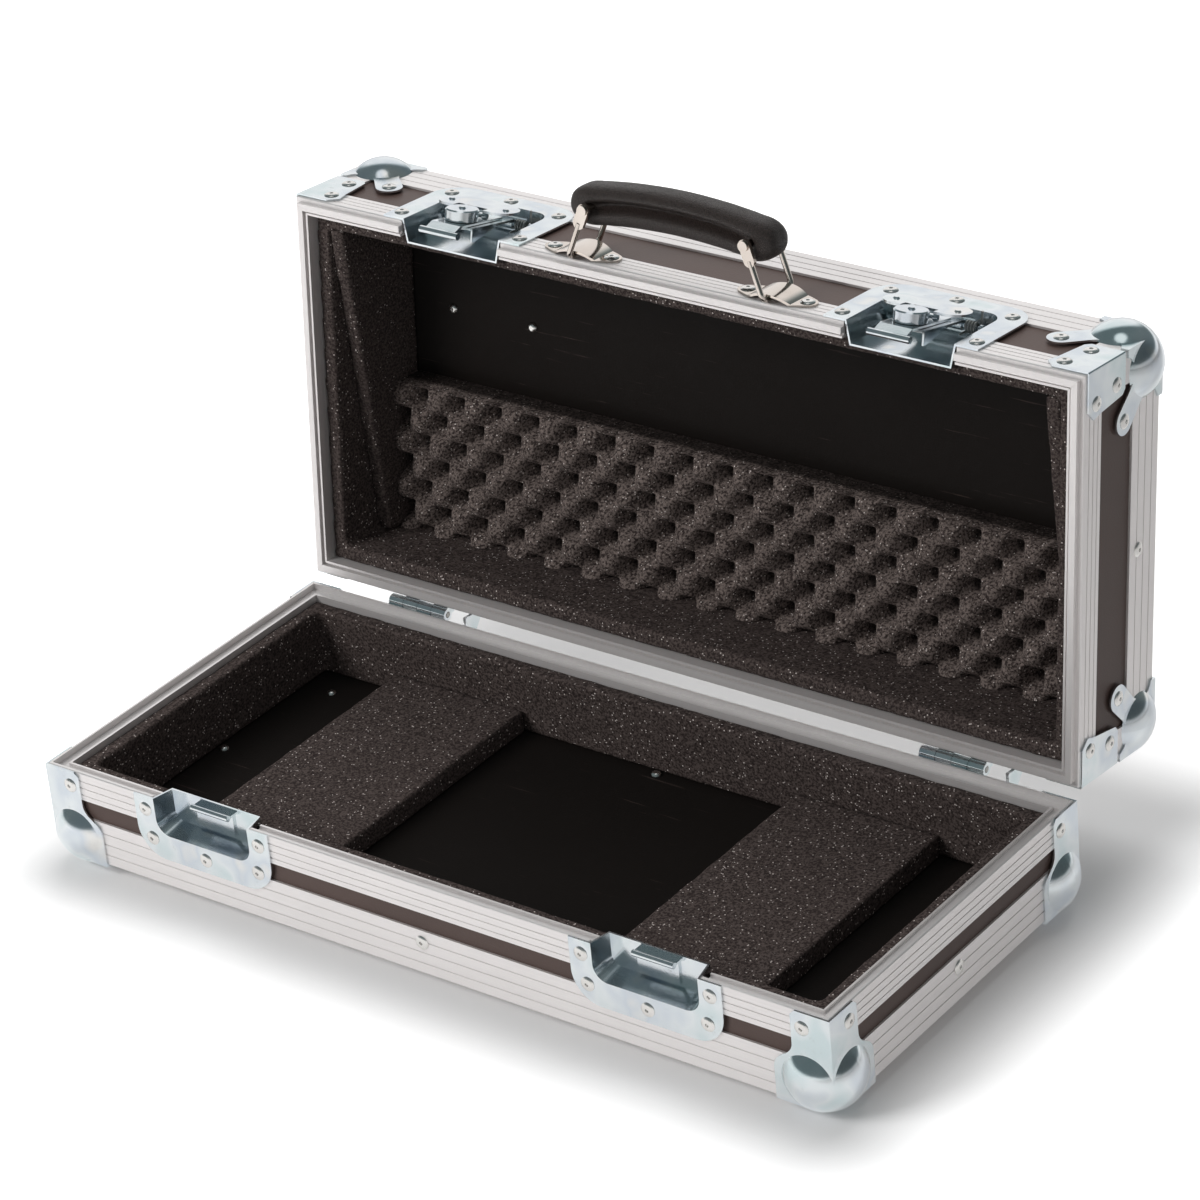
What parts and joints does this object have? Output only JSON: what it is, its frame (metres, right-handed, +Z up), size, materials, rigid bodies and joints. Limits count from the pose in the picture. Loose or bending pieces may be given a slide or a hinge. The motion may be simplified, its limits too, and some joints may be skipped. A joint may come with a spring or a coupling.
{
  "type": "synthesizer case",
  "caption": "Flight case for a small synthesizer, stood open, with foam lining, ball corners, recessed butterfly latches, hinges with stops and a padded handle",
  "frame": {"origin": "middle of the bounding box of the opened case, on the floor under its ball corners", "axes": "+X along the front to the right, +Y from the front to the lid, +Z up"},
  "size_m": [0.5872, 0.3837, 0.3796],
  "materials": {
    "board": "film-faced laminated board, satin",
    "edge_angle": "grooved extrusion, satin",
    "rim": "extrusion, satin",
    "foam": "open-cell foam",
    "grip": "padded, fine grain",
    "nickel": "nickel plate",
    "latch_zinc": "bright zinc plate",
    "spring": "spring wire",
    "rivet": "zinc plate",
    "zinc": "bright zinc plate"
  },
  "bodies": {
    "base": {"base_back_wall": "board", "base_ball_corners": "zinc", "base_edge_angles": "edge_angle", "base_floor_board": "board", "base_foam_lining": "foam", "base_front_wall": "board", "base_left_foam_pad": "foam", "base_left_wall": "board", "base_right_foam_pad": "foam", "base_right_wall": "board", "base_rims": "rim", "base_rivets": "rivet", "hinge_base_leaf_left": "zinc", "hinge_base_leaf_right": "zinc", "hinge_pin_left": "zinc", "hinge_pin_right": "zinc", "keeper_dish_left": "zinc", "keeper_dish_right": "zinc", "keeper_hook_left": "zinc", "keeper_hook_right": "zinc"},
    "lid": {"handle_plate_left": "nickel", "handle_plate_right": "nickel", "hinge_lid_leaf_left": "zinc", "hinge_lid_leaf_right": "zinc", "latch_dish_left": "zinc", "latch_dish_right": "zinc", "latch_pivot_pin_left": "zinc", "latch_pivot_pin_right": "zinc", "latch_spring_left": "spring", "latch_spring_right": "spring", "lid_back_wall": "board", "lid_ball_corners": "zinc", "lid_corner_braces": "zinc", "lid_edge_angles": "edge_angle", "lid_egg_crate_foam": "foam", "lid_foam_lining": "foam", "lid_front_wall": "board", "lid_left_foam_pad": "foam", "lid_left_wall": "board", "lid_right_foam_pad": "foam", "lid_right_wall": "board", "lid_rims": "rim", "lid_rivets": "rivet", "lid_top_board": "board"},
    "left_carrier": {"latch_carrier_left": "latch_zinc"},
    "left_claw": {"latch_claw_left": "latch_zinc"},
    "left_hub": {"latch_hub_left": "latch_zinc"},
    "left_wing": {"latch_fold_pin_left": "zinc", "latch_wing_left": "latch_zinc"},
    "right_carrier": {"latch_carrier_right": "latch_zinc"},
    "right_claw": {"latch_claw_right": "latch_zinc"},
    "right_hub": {"latch_hub_right": "latch_zinc"},
    "right_wing": {"latch_fold_pin_right": "zinc", "latch_wing_right": "latch_zinc"},
    "left_bail": {"handle_bail_left": "nickel"},
    "grip": {"handle_grip": "grip", "handle_grip_pins": "nickel"},
    "right_bail": {"handle_bail_right": "nickel"}
  },
  "joints": [
    {"name": "lid_hinge", "type": "hinge", "parent": "base", "child": "lid", "pos_m": [0, 0.0765, 0.0711], "axis": [1, 0, 0], "range_deg": [0, 95.8]},
    {"name": "left_latch_lift", "type": "hinge", "parent": "lid", "child": "left_carrier", "pos_m": [-0.1625, 0.14543, 0.31921], "axis": [1, 0, 0], "range_deg": [0, 8.5], "stiffness_Nm_per_rad": 0.5, "springref_deg": -11.46},
    {"name": "left_latch_turn", "type": "hinge", "parent": "left_carrier", "child": "left_hub", "pos_m": [-0.1625, 0.11445, 0.33329], "axis": [0, 0.247, 0.969], "range_deg": [0, 180]},
    {"name": "left_latch_draw", "type": "slide", "parent": "left_carrier", "child": "left_claw", "axis": [0, 0.969, -0.247], "range_m": [0, 0.003]},
    {"name": "left_wing_fold", "type": "hinge", "parent": "left_hub", "child": "left_wing", "pos_m": [-0.1625, 0.12185, 0.33399], "axis": [1, 0, 0], "range_deg": [0, 90]},
    {"name": "right_latch_lift", "type": "hinge", "parent": "lid", "child": "right_carrier", "pos_m": [0.1625, 0.14543, 0.31921], "axis": [1, 0, 0], "range_deg": [0, 8.5], "stiffness_Nm_per_rad": 0.5, "springref_deg": -11.46},
    {"name": "right_latch_turn", "type": "hinge", "parent": "right_carrier", "child": "right_hub", "pos_m": [0.1625, 0.11445, 0.33329], "axis": [0, 0.247, 0.969], "range_deg": [0, 180]},
    {"name": "right_latch_draw", "type": "slide", "parent": "right_carrier", "child": "right_claw", "axis": [0, 0.969, -0.247], "range_m": [0, 0.003]},
    {"name": "right_wing_fold", "type": "hinge", "parent": "right_hub", "child": "right_wing", "pos_m": [0.1625, 0.12185, 0.33399], "axis": [1, 0, 0], "range_deg": [0, 90]},
    {"name": "left_bail_swing", "type": "hinge", "parent": "lid", "child": "left_bail", "pos_m": [-0.0705, 0.11442, 0.3306], "axis": [0, 0.9949, -0.1011], "range_deg": [-8, 8]},
    {"name": "grip_pivot", "type": "hinge", "parent": "left_bail", "child": "grip", "pos_m": [-0.058, 0.11763, 0.36223], "axis": [0, 0.9949, -0.1011], "range_deg": [-10, 10]},
    {"name": "right_bail_swing", "type": "hinge", "parent": "lid", "child": "right_bail", "pos_m": [0.0705, 0.11442, 0.3306], "axis": [0, 0.9949, -0.1011], "range_deg": [-8.05, 8.05]}
  ],
  "couplings": [
    {"joint": "left_latch_turn", "follows": "left_latch_draw", "rad_per_m": 1046.2},
    {"joint": "right_latch_turn", "follows": "right_latch_draw", "rad_per_m": 1046.2},
    {"joint": "grip_pivot", "follows": "left_bail_swing", "ratio": -1.2155},
    {"joint": "right_bail_swing", "follows": "left_bail_swing", "ratio": 1}
  ]
}
